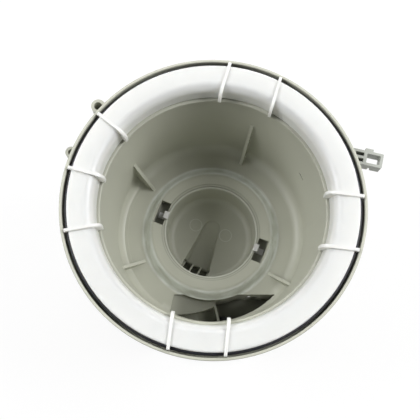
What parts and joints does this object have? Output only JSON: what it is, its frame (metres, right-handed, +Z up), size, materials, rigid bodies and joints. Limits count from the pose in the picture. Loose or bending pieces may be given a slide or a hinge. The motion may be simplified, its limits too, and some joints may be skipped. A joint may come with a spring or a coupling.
{
  "type": "dishwasher sump",
  "caption": "Deep round dishwasher sump bowl with white clamping ring, filter well, suction opening with spigot, drain pump and non-return outlet.",
  "frame": {"origin": "on the bowl axis, in the plane of the feet that the sump stands on", "axes": "+Z up out of the bowl, +X to the right in the picture, towards the clip bracket"},
  "size_m": [0.2394, 0.216, 0.1713],
  "materials": {
    "body_plastic": "polished mould skin, mineral-filled",
    "gasket_rubber": "moulded, matt with a slight sheen",
    "ring_plastic": "polished mould skin",
    "catch_plastic": "polished mould skin",
    "bracket_plastic": "fine mould skin",
    "cover_plastic": "fine mould skin",
    "seal_rubber": "moulded, matt",
    "bush_ceramic": "ground",
    "impeller_plastic": "moulded",
    "shaft_steel": "ground",
    "magnet_ferrite": "pressed and ground",
    "core_steel": "punched sheets, clear varnish",
    "bobbin_plastic": "moulded",
    "winding_wire": "enamelled copper wire",
    "tab_brass": "punched",
    "elbow_plastic": "fine mould skin",
    "screw_steel": "zinc plated",
    "sensor_plastic": "moulded"
  },
  "bodies": {
    "sump": {"sump_body": "body_plastic", "tub_gasket": "gasket_rubber", "ring_nut": "ring_plastic", "filter_catches": "catch_plastic", "drain_grille": "body_plastic", "side_bracket": "bracket_plastic", "pump_cover": "cover_plastic", "pump_seal": "seal_rubber", "bearing_carrier": "cover_plastic", "front_bush": "bush_ceramic", "rear_bush": "bush_ceramic", "stator_core": "core_steel", "coil_bobbin": "bobbin_plastic", "coil_winding": "winding_wire", "terminal_tabs": "tab_brass", "drain_elbow": "elbow_plastic", "outlet_seal": "seal_rubber", "elbow_screws": "screw_steel", "valve_seat": "elbow_plastic", "valve_pin": "shaft_steel", "sensor_grommet": "seal_rubber", "temperature_sensor": "sensor_plastic"},
    "rotor": {"pump_impeller": "impeller_plastic", "pump_shaft": "shaft_steel", "rotor_magnet": "magnet_ferrite"},
    "flap": {"valve_flap": "seal_rubber"}
  },
  "joints": [
    {"name": "rotor_spin", "type": "hinge", "parent": "sump", "child": "rotor", "pos_m": [-0.03603, -0.07388, 0.022], "axis": [-0.4384, -0.8988, 0], "continuous": true},
    {"name": "flap_swing", "type": "hinge", "parent": "sump", "child": "flap", "pos_m": [-0.0804, -0.01736, 0.0381], "axis": [0.4384, 0.8988, 0], "range_deg": [0, 60]}
  ]
}
